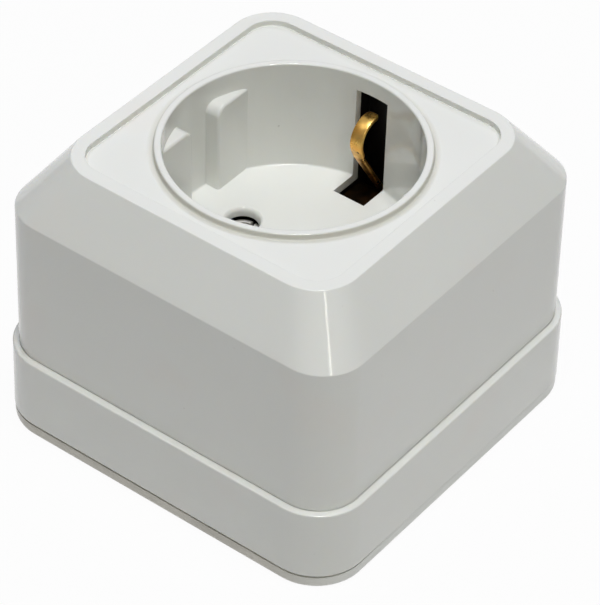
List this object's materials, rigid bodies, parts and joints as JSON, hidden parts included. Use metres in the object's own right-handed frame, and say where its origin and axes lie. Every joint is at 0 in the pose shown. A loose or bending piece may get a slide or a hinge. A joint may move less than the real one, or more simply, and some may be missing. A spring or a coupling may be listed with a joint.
{
  "type": "surface-mounted socket outlet",
  "caption": "Square surface-mounted wall socket with a round earthed plug well, side earth clips and a lift-off hood over its contact carrier.",
  "frame": {"origin": "centre of the base plate's back, on the wall plane", "axes": "+Z out of the wall towards the plug, X through the two pin holes, Y through the two earth clips (+Y is up when it is mounted)"},
  "size_m": [0.066, 0.066, 0.0503],
  "materials": {
    "hood_plastic": "satin moulded light grey-white plastic",
    "plate_plastic": "moulded plastic, slightly yellower than the hood",
    "carrier_plastic": "black-brown pressed thermoset",
    "pressed_board": "brown pressed insulating board",
    "nickel_contact": "bright nickel-plated brass sheet",
    "spring_steel": "blued spring steel",
    "zinc_steel": "zinc-plated steel",
    "strap_brass": "plain rolled brass",
    "clip_brass": "springy brass with a light tarnish"
  },
  "bodies": {
    "base": {"base_plate": "plate_plastic", "contact_carrier": "carrier_plastic", "insulating_plate": "pressed_board", "fixed_jaw_line": "nickel_contact", "fixed_jaw_neutral": "nickel_contact", "jaw_spring_line": "spring_steel", "jaw_spring_neutral": "spring_steel", "earth_bridge": "strap_brass", "mechanism_screws": "zinc_steel"},
    "hood": {"cover": "hood_plastic"},
    "cover_screw_group": {"cover_screw": "zinc_steel", "cover_screw_washer": "pressed_board"},
    "upper_clip": {"earth_clip_upper": "clip_brass", "earth_rivet_upper": "strap_brass"},
    "lower_clip": {"earth_clip_lower": "clip_brass", "earth_rivet_lower": "strap_brass"},
    "line_jaw": {"sprung_jaw_line": "nickel_contact"},
    "neutral_jaw": {"sprung_jaw_neutral": "nickel_contact"},
    "line_clamp": {"clamp_washer_line": "zinc_steel"},
    "line_screw": {"terminal_screw_line": "zinc_steel"},
    "neutral_clamp": {"clamp_washer_neutral": "zinc_steel"},
    "neutral_screw": {"terminal_screw_neutral": "zinc_steel"},
    "earth_clamp": {"clamp_washer_earth": "zinc_steel"},
    "earth_screw": {"terminal_screw_earth": "zinc_steel"}
  },
  "joints": [
    {"name": "cover_lift", "type": "slide", "parent": "base", "child": "hood", "axis": [0, 0, 1], "range_m": [0, 0.055]},
    {"name": "cover_screw_turn", "type": "hinge", "parent": "hood", "child": "cover_screw_group", "pos_m": [0, 0, 0.0295], "axis": [0, 0, 1], "continuous": true},
    {"name": "upper_clip_flex", "type": "hinge", "parent": "base", "child": "upper_clip", "pos_m": [0, 0.02205, 0.0205], "axis": [-1, 0, 0], "range_deg": [0, 4.5], "stiffness_Nm_per_rad": 1.2},
    {"name": "lower_clip_flex", "type": "hinge", "parent": "base", "child": "lower_clip", "pos_m": [0, -0.02205, 0.0205], "axis": [1, 0, 0], "range_deg": [0, 4.5], "stiffness_Nm_per_rad": 1.2},
    {"name": "line_jaw_flex", "type": "hinge", "parent": "base", "child": "line_jaw", "pos_m": [-0.0068, 0, 0.01115], "axis": [0, 1, 0], "range_deg": [0, 0.8], "stiffness_Nm_per_rad": 4},
    {"name": "neutral_jaw_flex", "type": "hinge", "parent": "base", "child": "neutral_jaw", "pos_m": [0.0068, 0, 0.01115], "axis": [0, -1, 0], "range_deg": [0, 0.8], "stiffness_Nm_per_rad": 4},
    {"name": "line_clamp_rise", "type": "slide", "parent": "base", "child": "line_clamp", "axis": [0, 0, 1], "range_m": [0, 0.0021]},
    {"name": "line_screw_turn", "type": "hinge", "parent": "line_clamp", "child": "line_screw", "pos_m": [-0.0195, 0, 0.0232], "axis": [0, 0, 1], "range_deg": [0, 1262]},
    {"name": "neutral_clamp_rise", "type": "slide", "parent": "base", "child": "neutral_clamp", "axis": [0, 0, 1], "range_m": [0, 0.0021]},
    {"name": "neutral_screw_turn", "type": "hinge", "parent": "neutral_clamp", "child": "neutral_screw", "pos_m": [0.0195, 0, 0.0232], "axis": [0, 0, 1], "range_deg": [0, 1262]},
    {"name": "earth_clamp_rise", "type": "slide", "parent": "base", "child": "earth_clamp", "axis": [0, 0, 1], "range_m": [0, 0.0021]},
    {"name": "earth_screw_turn", "type": "hinge", "parent": "earth_clamp", "child": "earth_screw", "pos_m": [0.0146, -0.0138, 0.0233], "axis": [0, 0, 1], "range_deg": [0, 1262]}
  ],
  "couplings": [
    {"joint": "line_screw_turn", "follows": "line_clamp_rise", "rad_per_m": 10472},
    {"joint": "neutral_screw_turn", "follows": "neutral_clamp_rise", "rad_per_m": 10472},
    {"joint": "earth_screw_turn", "follows": "earth_clamp_rise", "rad_per_m": 10472}
  ]
}
